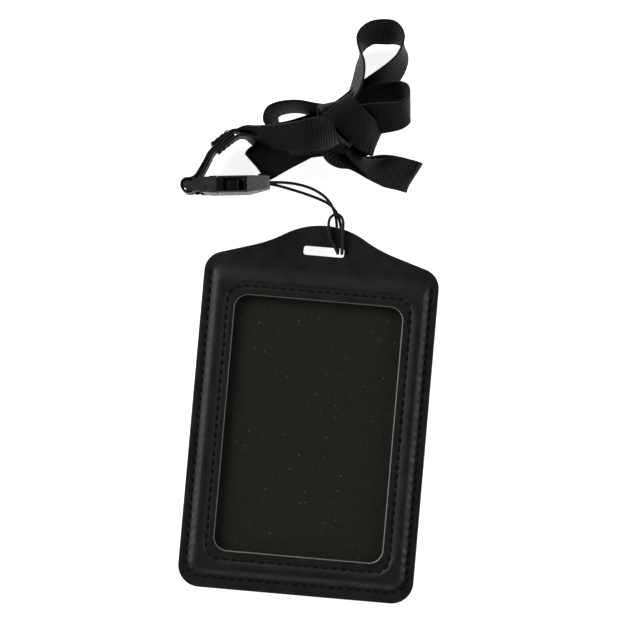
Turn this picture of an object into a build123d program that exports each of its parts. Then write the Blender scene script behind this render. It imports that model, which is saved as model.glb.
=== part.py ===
"""Lanyard badge holder: a stitched leather card holder, its cord, its release buckle and its neck strap.

Millimetres. +Y runs up the holder to its slot, +Z out of its front, and the holder's back lies on z = 0.
The origin is the middle of the holder's back. The buckle stands on its narrow edge beside the holder,
and the neck strap lies bunched beyond it.
"""
from build123d import *
import math
import os

# ---- holder, in plan
HALF_WIDTH = 35.0
HALF_LENGTH = 55.0
HUMP_RADIUS = 23.0
HUMP_SWEEP = 31.4
WAIST_RADIUS = 40.0
WAIST_SWEEP = 14.4
SHOULDER_RADIUS = 6.0
BOTTOM_RADIUS = 6.5
POCKET_HALF_WIDTH = 32.1
POCKET_BOTTOM = -50.9
POCKET_TOP = 38.0
POCKET_RADIUS = 4.5
WINDOW_HALF_WIDTH = 25.0
WINDOW_BOTTOM = -43.5
WINDOW_TOP = 32.5
WINDOW_RADIUS = 4.0
SLOT_Y = 47.3
SLOT_LENGTH = 12.2
SLOT_WIDTH = 2.8
SLOT_RADIUS = 0.8
CARD_SLIT_LENGTH = 58.0
CARD_SLIT_WIDTH = 1.6
CARD_SLIT_Y = 36.3
CARD_SLIT_RADIUS = 0.76

# ---- holder, through its thickness
LEATHER = 0.8
BORDER_BACK = 1.2
BORDER_MIDDLE = BORDER_BACK + LEATHER
BORDER_FRONT = BORDER_MIDDLE + LEATHER
BOARD = 0.6
LINING = 0.3
FILM = 0.25
PADDING = 1.0
FILM_BACK = 2.05
FILM_FRONT = FILM_BACK + FILM
PAD_FRONT = FILM_FRONT + PADDING
FRAME_FRONT = PAD_FRONT + LEATHER
INNER_GAP = 0.2
PADDING_GAP = 0.5
RAISED_ROUNDING = 0.72

# ---- stitching
STITCH_PITCH = 2.7
STITCH_LENGTH = 1.7
THREAD = 0.45
THREAD_HEIGHT = 0.25
SEAM_HALF_WIDTH = 32.9
SEAM_TOP = 39.6
SEAM_BOTTOM = -51.9
SEAM_RADIUS = 4.5
WINDOW_SEAM_GAP = 2.3
WINDOW_SEAM_END_GAP = 2.7
WINDOW_SEAM_RADIUS = 4.0

# ---- tether cord
CORD_DIAMETER = 0.9

# ---- buckle, in its own frame: x along it from the webbing bar, z up from the edge it stands on
BUCKLE_PLACE = (-41.5, 62.9)
BUCKLE_TURN = 6.0
BUCKLE_WIDTH = 13.0
BUCKLE_THICKNESS = 5.0
MIDDLE_Z = BUCKLE_WIDTH / 2
BAR_RADIUS = 1.2
END_PLATE = 1.4
END_PLATE_EDGE = [
    (-1.0, 0.9),
    (1.0, 0.9),
    (1.4, 1.9),
    (2.1, 2.2),
    (2.8, 1.9),
    (3.1, 1.9),
    (3.8, 2.3),
]
SOCKET_START = 8.7
SOCKET_END = 24.0
SOCKET_TAIL = 17.4
SOCKET_ROUNDING = 0.7
SHOULDER_DROP = 3.1
TAIL_CHAMFER = 1.0
TAIL_TAPER_END = -1.2
CAVITY_HALF_WIDTH = 5.1
CAVITY_HALF_THICKNESS = 1.75
CAVITY_END = 17.6
SIDE_WINDOW = (10.4, 16.4)
CORD_BORE_RADIUS = 1.25
CORD_BORE_SIDE = 0.6
KNOT_CHAMBER_END = 20.4
KNOT_CHAMBER_HALF_HEIGHT = 2.1
KNOT_X = 18.7
KNOT_RADIUS = 1.45
KNOT_LOBE_RADIUS = 0.8
KNOT_CORD_RADIUS = 0.42
EAR = (20.6, 23.6)
EAR_RISE = 3.2
EAR_HALF_HEIGHT = 2.6
FLANGE_START = 6.3
FLANGE_END = 8.5
BASE_START = 4.4
BASE_HALF_THICKNESS = 2.3
TONGUE_END = 17.0
TONGUE_HALF_HEIGHT = 1.2
ARM_HALF_THICKNESS = 1.5
ARM_PIVOT = (7.1, 3.1)
ARM_PIVOT_RADIUS = 0.6
ARM_CLEARANCE = 0.06
ARM_MOUTH_INSIDE = 1.4
ARM_MOUTH_OUTSIDE = 0.9
# The arm's outline and the opening in its button, measured from the arm's pivot.
ARM_BEAM = [
    (0.0, -0.45),
    (3.9, -0.45),
    (7.5, 0.2),
    (8.8, 1.0),
    (8.7, 1.9),
    (7.5, 2.7),
    (5.5, 3.0),
    (3.6, 2.6),
    (3.6, 1.5),
    (2.1, 0.5),
    (0.0, 0.45),
]
ARM_OPENING = [
    (4.3, 0.35),
    (6.5, 0.75),
    (7.5, 1.4),
    (6.5, 2.0),
    (4.6, 1.9),
]

# ---- webbing
WEBBING_WIDTH = 10.0
WEBBING = 0.8
WEBBING_BASE = (BUCKLE_WIDTH - WEBBING_WIDTH) / 2
WEBBING_CLEARANCE = 0.06
JOINT_START = (-35.6, 73.9)
JOINT_END = (-29.8, 79.5)
STRAP_TIP = (-25.6, 81.2)
JOINT_SEAM_INSET = 1.2
JOINT_SEAM_SHARES = (0.15, 0.38, 0.62, 0.85)


def save(shape, node):
    shape.label = node
    export_step(shape, f"parts/{node}.step")


def plate(outline, low, high):
    """A flat sheet of the given outline between two heights."""
    return Pos(0, 0, low) * extrude(outline, high - low)


def rounded(half_width, bottom, top, radius):
    """A rectangle with round corners, centred on X = 0."""
    shape = RectangleRounded(2 * half_width, top - bottom, radius)
    return Pos(0, (top + bottom) / 2) * shape


# ------------------------------------------------------------------ holder
def holder_outline():
    """Straight sides, round corners, and a top that rises to a hump behind the slot."""
    hump = JernArc((0, HALF_LENGTH), (1, 0), HUMP_RADIUS, -HUMP_SWEEP)
    waist = JernArc(hump @ 1, hump % 1, WAIST_RADIUS, WAIST_SWEEP)
    slope = math.radians(HUMP_SWEEP - WAIST_SWEEP)
    across = HALF_WIDTH - (waist @ 1).X - SHOULDER_RADIUS * (1 - math.sin(slope))
    shoulder = PolarLine(waist @ 1, across / math.cos(slope), direction=waist % 1)
    corner = JernArc(shoulder @ 1, shoulder % 1, SHOULDER_RADIUS, -90 + math.degrees(slope))
    side_end = Vector(HALF_WIDTH, -HALF_LENGTH + BOTTOM_RADIUS)
    side = Line(corner @ 1, side_end)
    bottom_corner = JernArc(side @ 1, (0, -1), BOTTOM_RADIUS, -90)
    bottom = Line(bottom_corner @ 1, (0, -HALF_LENGTH))
    right = [hump, waist, shoulder, corner, side, bottom_corner, bottom]
    left = [mirror(edge, Plane.YZ) for edge in right]
    return make_face(right + left)


def slot_outline():
    return Pos(0, SLOT_Y) * RectangleRounded(SLOT_LENGTH, SLOT_WIDTH, SLOT_RADIUS)


def pocket_outline(inset=0.0):
    radius = POCKET_RADIUS - inset
    return rounded(POCKET_HALF_WIDTH - inset, POCKET_BOTTOM + inset, POCKET_TOP - inset, radius)


def window_outline():
    return rounded(WINDOW_HALF_WIDTH, WINDOW_BOTTOM, WINDOW_TOP, WINDOW_RADIUS)


def back_cover():
    """A shallow tray of leather: its floor rests, its border and tab stand clear of what it rests on."""
    border = plate(holder_outline() - slot_outline(), BORDER_BACK, BORDER_MIDDLE)
    floor = plate(pocket_outline(), 0, BORDER_MIDDLE)
    hollow = plate(pocket_outline(LEATHER), LEATHER, BORDER_MIDDLE)
    slit = Pos(0, CARD_SLIT_Y) * RectangleRounded(CARD_SLIT_LENGTH, CARD_SLIT_WIDTH, CARD_SLIT_RADIUS)
    return border + floor - hollow - plate(slit, 0, LEATHER)


def front_frame():
    """The front leather: flat at the border and tab, lifted over the padding, open at the window."""
    border = plate(holder_outline() - slot_outline(), BORDER_MIDDLE, BORDER_FRONT)
    raised = plate(pocket_outline(), BORDER_MIDDLE, FRAME_FRONT)
    top_rim = raised.edges().group_by(Axis.Z)[-1]
    raised = fillet(top_rim, RAISED_ROUNDING)
    hollow = plate(pocket_outline(LEATHER), BORDER_MIDDLE, PAD_FRONT)
    return border + raised - hollow - plate(window_outline(), 0, FRAME_FRONT)


def inner_sheet(low, thickness, top=POCKET_TOP - LEATHER - INNER_GAP):
    """A sheet held in the pocket, inside the leather's walls."""
    side = POCKET_HALF_WIDTH - LEATHER - INNER_GAP
    bottom = POCKET_BOTTOM + LEATHER + INNER_GAP
    return plate(rounded(side, bottom, top, POCKET_RADIUS - LEATHER - INNER_GAP), low, low + thickness)


def frame_padding():
    """A foam ring under the front leather, a little larger than the window all round."""
    ring = inner_sheet(FILM_FRONT, PADDING)
    opening = rounded(
        WINDOW_HALF_WIDTH + PADDING_GAP,
        WINDOW_BOTTOM - PADDING_GAP,
        WINDOW_TOP + PADDING_GAP,
        WINDOW_RADIUS + PADDING_GAP,
    )
    return ring - plate(opening, FILM_FRONT, PAD_FRONT)


def stitches(path, low):
    """Thread dashes at an even pitch along a path, lying on the face at the given height."""
    count = round(path.length / STITCH_PITCH)
    dash = Pos(0, 0, low + THREAD_HEIGHT / 2) * Box(STITCH_LENGTH, THREAD, THREAD_HEIGHT)
    dashes = []
    for index in range(count):
        share = (index + 0.5) / count
        point = path @ share
        along = path % share
        turn = math.degrees(math.atan2(along.Y, along.X))
        dashes.append(Pos(point.X, point.Y, 0) * Rot(0, 0, turn) * dash)
    return dashes


def outer_stitching():
    """The seam down one side, round the bottom and up the other, seen on both faces."""
    corners = [
        (-SEAM_HALF_WIDTH, SEAM_TOP),
        (-SEAM_HALF_WIDTH, SEAM_BOTTOM),
        (SEAM_HALF_WIDTH, SEAM_BOTTOM),
        (SEAM_HALF_WIDTH, SEAM_TOP),
    ]
    path = FilletPolyline(*corners, radius=SEAM_RADIUS)
    return Compound(stitches(path, BORDER_FRONT) + stitches(path, BORDER_BACK - THREAD_HEIGHT))


def window_stitching():
    """The seam round the window, through the padding."""
    outline = rounded(
        WINDOW_HALF_WIDTH + WINDOW_SEAM_GAP,
        WINDOW_BOTTOM - WINDOW_SEAM_END_GAP,
        WINDOW_TOP + WINDOW_SEAM_END_GAP,
        WINDOW_SEAM_RADIUS,
    )
    return Compound(stitches(outline.wire(), FRAME_FRONT))


# ------------------------------------------------------------------ tether cord
# One cord from the buckle's eyelet down to the tab, hitched round the bridge above the slot, and back.
# The two standing strands pass over the bight at the tab's edge and on behind the bridge to the slot.
TETHER_ROUTE = [
    (-21.9, 65.56, 7.0),
    (-19.0, 65.9, 7.02),
    (-16.2, 66.3, 6.7),
    (-13.2, 66.6, 5.4),
    (-9.8, 66.6, 3.9),
    (-6.6, 66.1, 3.0),
    (-3.8, 65.2, 2.6),
    (-1.3, 63.8, 2.6),
    (0.7, 61.9, 2.6),
    (2.0, 59.6, 2.5),
    (2.9, 57.0, 1.6),
    (3.3, 54.2, 0.5),
    (3.7, 51.9, 0.55),
    (4.1, 49.6, 0.5),
    (4.2, 47.2, 0.5),
    (4.1, 47.1, 3.5),
    (2.9, 49.2, 3.6),
    (1.6, 51.2, 3.45),
    (0.9, 53.5, 3.5),
    (0.6, 55.9, 3.3),
    (1.0, 58.0, 0.8),
    (2.9, 59.2, 0.47),
    (4.6, 58.0, 0.8),
    (5.1, 55.9, 3.3),
    (5.0, 53.5, 3.5),
    (5.2, 51.3, 3.45),
    (5.35, 49.1, 3.6),
    (5.4, 47.1, 3.5),
    (5.35, 47.2, 0.5),
    (5.2, 49.6, 0.5),
    (4.9, 51.9, 0.55),
    (4.6, 54.2, 0.5),
    (4.0, 56.7, 1.2),
    (3.0, 58.9, 2.0),
    (1.4, 60.9, 1.2),
    (-0.8, 62.3, 0.65),
    (-4.0, 63.3, 0.9),
    (-8.2, 64.3, 2.4),
    (-12.2, 65.0, 4.1),
    (-15.9, 65.6, 5.5),
    (-19.0, 65.8, 6.02),
    (-21.9, 65.5, 6.0),
]


def tube(points, diameter, name):
    """A round cord: straight runs joined by tangent arcs, each as large as its two runs allow."""
    route = [Vector(*point) for point in points]
    radii = []
    for before, corner, after in zip(route, route[1:], route[2:]):
        first = corner - before
        second = after - corner
        half_turn = math.radians(first.get_angle(second)) / 2
        radii.append(0.45 * min(first.length, second.length) / math.tan(half_turn))
    path = FilletPolyline(*route, radius=radii)
    section = Plane(origin=path @ 0, z_dir=path % 0) * Circle(diameter / 2)
    solid = sweep(section, path=path)
    expected = math.pi * diameter**2 / 4 * path.length
    print(f"{name}: length {path.length:.1f}, volume {solid.volume:.2f} for {expected:.2f}")
    print(f"{name}: tightest bend {min(radii):.1f}")
    return solid


# ------------------------------------------------------------------ buckle
def on_buckle(shape):
    """Put a shape made in the buckle's own frame where the buckle stands."""
    return Pos(*BUCKLE_PLACE, 0) * Rot(0, 0, BUCKLE_TURN) * shape


def side_profile(points, half_thickness):
    """A prism from an outline seen on the buckle's wide face: x along the buckle, z up."""
    face = Plane.XZ * make_face(Polyline(*points, close=True))
    return extrude(face, half_thickness, both=True)


def upright_box(start, end, half_thickness, low, high):
    size = Vector(end - start, 2 * half_thickness, high - low)
    return Pos((start + end) / 2, 0, (low + high) / 2) * Box(size.X, size.Y, size.Z)


def buckle_socket():
    """The female half: a flat sleeve, windowed on its narrow sides, its tapered tail bored for the cord."""
    outline = [
        (SOCKET_START, 0),
        (SOCKET_TAIL, 0),
        (SOCKET_END - TAIL_CHAMFER, SHOULDER_DROP),
        (SOCKET_END, SHOULDER_DROP + TAIL_CHAMFER),
        (SOCKET_END, BUCKLE_WIDTH - SHOULDER_DROP - TAIL_CHAMFER),
        (SOCKET_END - TAIL_CHAMFER, BUCKLE_WIDTH - SHOULDER_DROP),
        (SOCKET_TAIL, BUCKLE_WIDTH),
        (SOCKET_START, BUCKLE_WIDTH),
    ]
    half = BUCKLE_THICKNESS / 2
    body = side_profile(outline, half)
    long_edges = body.edges().filter_by(Axis.X)
    body = fillet(long_edges, SOCKET_ROUNDING)
    taper = [
        (SOCKET_TAIL, -BUCKLE_THICKNESS),
        (SOCKET_END, -BUCKLE_THICKNESS),
        (SOCKET_END, TAIL_TAPER_END),
        (SOCKET_TAIL, -half),
    ]
    body -= extrude(make_face(Polyline(*taper, close=True)), BUCKLE_WIDTH)
    low = MIDDLE_Z - CAVITY_HALF_WIDTH
    high = MIDDLE_Z + CAVITY_HALF_WIDTH
    body -= upright_box(SOCKET_START - 1, CAVITY_END, CAVITY_HALF_THICKNESS, low, high)
    body -= upright_box(*SIDE_WINDOW, CAVITY_HALF_THICKNESS, -1, BUCKLE_WIDTH + 1)
    ear = Box(EAR[1] - EAR[0], EAR_RISE, 2 * EAR_HALF_HEIGHT)
    body += Pos((EAR[0] + EAR[1]) / 2, EAR_RISE / 2, MIDDLE_Z) * ear
    low = MIDDLE_Z - KNOT_CHAMBER_HALF_HEIGHT
    high = MIDDLE_Z + KNOT_CHAMBER_HALF_HEIGHT
    body -= upright_box(CAVITY_END - 1, KNOT_CHAMBER_END, CAVITY_HALF_THICKNESS, low, high)
    bore = Pos(SOCKET_END, CORD_BORE_SIDE, MIDDLE_Z) * Rot(0, 90, 0) * Cylinder(CORD_BORE_RADIUS, 10)
    return body - bore


def cord_knot():
    """The cord's two ends, knotted together inside the socket's tail."""
    knot = Pos(KNOT_X, 0, MIDDLE_Z) * Sphere(KNOT_RADIUS)
    lobe = Rot(60, 0, 0) * Torus(KNOT_LOBE_RADIUS, KNOT_CORD_RADIUS)
    lobe = Pos(KNOT_X + KNOT_CORD_RADIUS, 0, MIDDLE_Z + KNOT_RADIUS / 2) * lobe
    return knot + lobe


def arm_seat(height):
    """The round seat and the slot in the plug that an arm's root turns in."""
    radius = ARM_PIVOT_RADIUS + ARM_CLEARANCE
    thickness = 2 * (ARM_HALF_THICKNESS + ARM_CLEARANCE)
    seat = Pos(ARM_PIVOT[0], 0, height) * Rot(90, 0, 0) * Cylinder(radius, thickness)
    low = height - ARM_MOUTH_INSIDE
    high = height + ARM_MOUTH_OUTSIDE
    mouth = upright_box(ARM_PIVOT[0], FLANGE_END + 1, thickness / 2, low, high)
    return seat + mouth


def buckle_plug():
    """The male half: webbing bar between two end plates, base, flange and the guide tongue."""
    half = BUCKLE_THICKNESS / 2
    edge = END_PLATE_EDGE + [(BASE_START, BASE_HALF_THICKNESS)]
    other_edge = [(x, -y) for x, y in reversed(edge)]
    end_plate = extrude(make_face(Polyline(*edge, *other_edge, close=True)), END_PLATE)
    plug = end_plate + Pos(0, 0, BUCKLE_WIDTH - END_PLATE) * end_plate
    plug += Pos(0, 0, MIDDLE_Z) * Cylinder(BAR_RADIUS, BUCKLE_WIDTH)
    plug += upright_box(BASE_START, FLANGE_START, BASE_HALF_THICKNESS, 0, BUCKLE_WIDTH)
    plug += upright_box(FLANGE_START, FLANGE_END, half, 0, BUCKLE_WIDTH)
    tongue_low = MIDDLE_Z - TONGUE_HALF_HEIGHT
    tongue_high = MIDDLE_Z + TONGUE_HALF_HEIGHT
    plug += upright_box(FLANGE_END, TONGUE_END, ARM_HALF_THICKNESS, tongue_low, tongue_high)
    upper = arm_seat(MIDDLE_Z + ARM_PIVOT[1])
    return plug - upper - mirror(upper, Plane.XY.offset(MIDDLE_Z))


def release_arm():
    """The upper squeeze arm: a springy beam ending in a bulged button, hooked behind the socket's mouth."""
    root_x = ARM_PIVOT[0]
    root_z = MIDDLE_Z + ARM_PIVOT[1]
    beam = [(root_x + along, root_z + up) for along, up in ARM_BEAM]
    opening = [(root_x + along, root_z + up) for along, up in ARM_OPENING]
    arm = side_profile(beam, ARM_HALF_THICKNESS)
    arm -= side_profile(opening, 2 * ARM_HALF_THICKNESS)
    root = Pos(root_x, 0, root_z) * Rot(90, 0, 0) * Cylinder(ARM_PIVOT_RADIUS, 2 * ARM_HALF_THICKNESS)
    return arm + root


# ------------------------------------------------------------------ webbing and neck strap
def direction(start, end):
    length = math.dist(start, end)
    return ((end[0] - start[0]) / length, (end[1] - start[1]) / length)


def upright_strip(start, end, thickness, low, high):
    """A strip of webbing standing on edge between two points of the plan."""
    middle = ((start[0] + end[0]) / 2, (start[1] + end[1]) / 2)
    along = direction(start, end)
    turn = math.degrees(math.atan2(along[1], along[0]))
    strip = Box(math.dist(start, end), thickness, high - low)
    return Pos(*middle, (low + high) / 2) * Rot(0, 0, turn) * strip


def beside(point, along, offset):
    """A point moved sideways, to the left of the given direction."""
    return (point[0] - along[1] * offset, point[1] + along[0] * offset)


def further(point, along, distance):
    """A point moved on in the given direction."""
    return (point[0] + along[0] * distance, point[1] + along[1] * distance)


def webbing_loop():
    """The short length of webbing folded round the buckle's bar, its two legs sewn into the joint."""
    low = WEBBING_BASE
    high = WEBBING_BASE + WEBBING_WIDTH
    inner = BAR_RADIUS + WEBBING_CLEARANCE
    outer = inner + WEBBING
    middle_radius = inner + WEBBING / 2
    ring = Circle(outer) - Circle(inner)
    loop = Pos(*BUCKLE_PLACE, low) * extrude(ring, WEBBING_WIDTH)
    along = direction(BUCKLE_PLACE, JOINT_START)
    for side in (-1, 1):
        leg_start = beside(BUCKLE_PLACE, along, side * middle_radius)
        leg_end = beside(JOINT_START, along, side * WEBBING / 2)
        loop += upright_strip(leg_start, leg_end, WEBBING, low, high)
    bar = Pos(*BUCKLE_PLACE, MIDDLE_Z) * Cylinder(inner, BUCKLE_WIDTH)
    return loop + upright_strip(JOINT_START, JOINT_END, 2 * WEBBING, low, high) - bar


def strap_end(side):
    """One end of the neck strap, laid against the loop's sewn end and running on to the bunched strap."""
    along = direction(JOINT_START, JOINT_END)
    offset = side * 1.5 * WEBBING
    low = WEBBING_BASE
    high = WEBBING_BASE + WEBBING_WIDTH
    start = beside(further(JOINT_START, along, JOINT_SEAM_INSET), along, offset)
    end = beside(JOINT_END, along, offset)
    tip_along = direction(JOINT_END, STRAP_TIP)
    tip = beside(STRAP_TIP, tip_along, side * 0.7 * WEBBING)
    return upright_strip(start, end, WEBBING, low, high) + upright_strip(end, tip, WEBBING, low, high)


def joint_stitching():
    """Thread that runs through the sewn joint, near the webbing's two edges and its two ends."""
    along = direction(JOINT_START, JOINT_END)
    length = math.dist(JOINT_START, JOINT_END)
    turn = math.degrees(math.atan2(along[1], along[0]))
    depth = 4 * WEBBING + 2 * THREAD_HEIGHT
    low = WEBBING_BASE + JOINT_SEAM_INSET
    high = WEBBING_BASE + WEBBING_WIDTH - JOINT_SEAM_INSET
    stitches_across = []
    for share in JOINT_SEAM_SHARES:
        centre = further(JOINT_START, along, length * share)
        for height in (low, high):
            stitch = Rot(0, 0, turn) * Box(THREAD, depth, THREAD)
            stitches_across.append(Pos(*centre, height) * stitch)
    return Compound(stitches_across)


# Each lobe of the bunched strap: its two ends in plan, its width and its height.
LOBES = {
    "front run": ((-21.0, 81.5), (2.0, 86.0), 9.5, 17.0),
    "lower left loop": ((-15.5, 74.5), (3.0, 82.0), 10.4, 12.0),
    "upper left loop": ((-14.0, 86.0), (-2.0, 90.0), 9.6, 12.0),
    "top loop": ((17.5, 110.0), (9.5, 93.0), 13.6, 12.0),
    "right loop": ((22.0, 94.5), (10.0, 88.0), 14.0, 14.0),
    "middle": ((3.0, 90.0), (15.0, 82.0), 13.0, 17.0),
    "lower right loop": ((11.0, 80.0), (26.0, 76.0), 11.0, 12.0),
}


def strap_bunch():
    """The outer shape of the bunched neck strap."""
    bunch = None
    for start, end, width, height in LOBES.values():
        along = direction(start, end)
        turn = math.degrees(math.atan2(along[1], along[0]))
        middle = ((start[0] + end[0]) / 2, (start[1] + end[1]) / 2)
        lobe_outline = SlotCenterToCenter(math.dist(start, end), width)
        lobe = Pos(*middle, 0) * Rot(0, 0, turn) * extrude(lobe_outline, height)
        bunch = lobe if bunch is None else bunch + lobe
    return bunch - strap_end(1) - strap_end(-1)


def main():
    os.makedirs("parts", exist_ok=True)
    save(back_cover(), "back_cover")
    save(inner_sheet(LEATHER, BOARD, CARD_SLIT_Y - CARD_SLIT_WIDTH), "back_board")
    save(inner_sheet(LEATHER + BOARD, LINING, CARD_SLIT_Y - CARD_SLIT_WIDTH), "pocket_lining")
    save(inner_sheet(FILM_BACK, FILM), "window_film")
    save(frame_padding(), "frame_padding")
    save(front_frame(), "front_frame")
    save(outer_stitching(), "outer_stitching")
    save(window_stitching(), "window_stitching")
    save(tube(TETHER_ROUTE, CORD_DIAMETER, "tether_cord"), "tether_cord")
    save(on_buckle(cord_knot()), "cord_knot")
    save(on_buckle(buckle_socket()), "buckle_socket")
    save(on_buckle(buckle_plug()), "buckle_plug")
    upper_arm = release_arm()
    save(on_buckle(upper_arm), "release_arm_upper")
    save(on_buckle(mirror(upper_arm, Plane.XY.offset(MIDDLE_Z))), "release_arm_lower")
    save(webbing_loop(), "webbing_loop")
    save(strap_end(1), "neck_strap_end_upper")
    save(strap_end(-1), "neck_strap_end_lower")
    save(joint_stitching(), "joint_stitching")
    save(strap_bunch(), "neck_strap_bunch")


main()
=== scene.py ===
# The looks of a lanyard badge holder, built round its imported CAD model, in metres.
import math

import bpy
import numpy as np
from mathutils import Matrix, Vector


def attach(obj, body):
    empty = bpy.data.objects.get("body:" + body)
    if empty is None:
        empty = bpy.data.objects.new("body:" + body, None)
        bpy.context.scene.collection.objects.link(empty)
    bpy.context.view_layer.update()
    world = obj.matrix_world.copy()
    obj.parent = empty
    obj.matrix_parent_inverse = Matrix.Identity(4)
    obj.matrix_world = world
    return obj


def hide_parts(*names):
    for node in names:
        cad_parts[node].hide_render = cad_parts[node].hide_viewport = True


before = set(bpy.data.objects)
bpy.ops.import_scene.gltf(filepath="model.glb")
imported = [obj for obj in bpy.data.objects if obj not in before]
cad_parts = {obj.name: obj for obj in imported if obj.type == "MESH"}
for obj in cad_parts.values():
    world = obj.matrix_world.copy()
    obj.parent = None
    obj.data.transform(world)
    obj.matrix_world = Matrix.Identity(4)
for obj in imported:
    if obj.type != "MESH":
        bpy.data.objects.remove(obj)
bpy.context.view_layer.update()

MM = 0.001

# ---- camera: nearly straight down, from slightly below the bottom edge, turned about its own axis
VIEW_TARGET = Vector((0.0006, 0.0270, 0.0))
VIEW_DISTANCE = 0.7
VIEW_TILT = math.radians(1.5)
VIEW_TURN = math.radians(5.0)
VIEW_SPAN = 0.191
SENSOR = 36.0

# ---- holder, in millimetres
HALF_WIDTH = 35.0
HALF_LENGTH = 55.0
HUMP_RADIUS = 23.0
HUMP_SWEEP = 31.4
WAIST_RADIUS = 40.0
WAIST_SWEEP = 14.4
SHOULDER_RADIUS = 6.0
BOTTOM_RADIUS = 6.5
POCKET = (32.1, -50.9, 38.0, 4.5)  # half width, bottom, top, corner radius
WINDOW = (25.0, -43.5, 32.5, 4.0)
SHEET = (31.1, -49.9, 37.0, 3.5)
SLOT_Y = 47.3
SLOT = (6.1, 1.4, 0.8)  # half length, half width, corner radius
SLIT_Y = 36.3
SLIT = (29.0, 0.8, 0.75)
LEATHER = 0.8
BORDER_BACK = 1.2
BORDER_FRONT = 2.8
BOARD_BACK = 0.8
BOARD_FRONT = 1.4
FILM_BACK = 2.05
FILM_FRONT = 2.30
LINING_BACK = 1.4
LINING_FRONT = 1.7
LINING_TOP = 34.7
PILLOW_LIFT = 1.25
PILLOW_WIDTH = 2.4
TOP_FADE_START = 41.5
TOP_FADE = 6.0
PUCKER = 0.16
PUCKER_REACH = 0.9
SLOT_PRESS = 0.16
SLOT_PRESS_REACH = 1.1
SEAM_SINK = 0.17
WINDOW_SEAM_SINK = 0.24
BACK_SEAM_SINK = 0.12

# ---- stitching, in millimetres
STITCH_PITCH = 2.7
STITCH_LENGTH = 1.75
PLY_RADIUS = 0.135
OUTER_SEAM = (32.9, -51.9, 39.6, 4.5)
WINDOW_SEAM = (27.3, -46.2, 35.2, 4.0)

# ---- tether cord and neck strap, in metres
CORD_DIAMETER = 0.9 * MM
TETHER_SIDES = 16
BRAID_LAY = 1.1 * MM
KNOT_SIDES = 12
KNOT_PLACE = (-0.0228, 0.06485, 0.0067)
KNOT_WIND = 0.66
KNOT_LOBE = 0.38
KNOT_DEPTH = KNOT_LOBE * 1.7
EASED_EDGE = 0.35 * MM
TETHER_STEP = 0.075 * MM
WEBBING_WIDTH = 10.0 * MM
WEBBING = 0.8 * MM
RIB_PITCH = 0.75 * MM
RIB_HEIGHT = 0.06 * MM
JOINT_START = (-0.0356, 0.0739)
JOINT_END = (-0.0298, 0.0795)
JOINT_STITCH = 1.5
JOINT_STITCHES = 4
JOINT_ROWS = (2.7, 6.5, 10.3)
JOINT_HALF_THICKNESS = 1.56

# The tether runs from the buckle's eyelet to the tab, round the bridge above the slot, and back.
TETHER_ROUTE = [
    (-0.0219, 0.06556, 0.007),
    (-0.019, 0.0659, 0.00702),
    (-0.0162, 0.0663, 0.0067),
    (-0.0132, 0.0666, 0.0054),
    (-0.0098, 0.0666, 0.0039),
    (-0.0066, 0.0661, 0.003),
    (-0.0038, 0.0652, 0.0026),
    (-0.0013, 0.0638, 0.0026),
    (0.0007, 0.0619, 0.0026),
    (0.002, 0.0596, 0.0025),
    (0.0029, 0.057, 0.0016),
    (0.0033, 0.0542, 0.0005),
    (0.0037, 0.0519, 0.00055),
    (0.0041, 0.0496, 0.0005),
    (0.0042, 0.0472, 0.0005),
    (0.0041, 0.0471, 0.0035),
    (0.0029, 0.0492, 0.0036),
    (0.0016, 0.0512, 0.00345),
    (0.0009, 0.0535, 0.0035),
    (0.0006, 0.0559, 0.0033),
    (0.001, 0.058, 0.0008),
    (0.0029, 0.0592, 0.00047),
    (0.0046, 0.058, 0.0008),
    (0.0051, 0.0559, 0.0033),
    (0.005, 0.0535, 0.0035),
    (0.0052, 0.0513, 0.00345),
    (0.00535, 0.0491, 0.0036),
    (0.0054, 0.0471, 0.0035),
    (0.00535, 0.0472, 0.0005),
    (0.0052, 0.0496, 0.0005),
    (0.0049, 0.0519, 0.00055),
    (0.0046, 0.0542, 0.0005),
    (0.004, 0.0567, 0.0012),
    (0.003, 0.0589, 0.002),
    (0.0014, 0.0609, 0.0012),
    (-0.0008, 0.0623, 0.00065),
    (-0.004, 0.0633, 0.0009),
    (-0.0082, 0.0643, 0.0024),
    (-0.0122, 0.065, 0.0041),
    (-0.0159, 0.0656, 0.0055),
    (-0.019, 0.0658, 0.00602),
    (-0.0219, 0.0655, 0.006),
]

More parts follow.
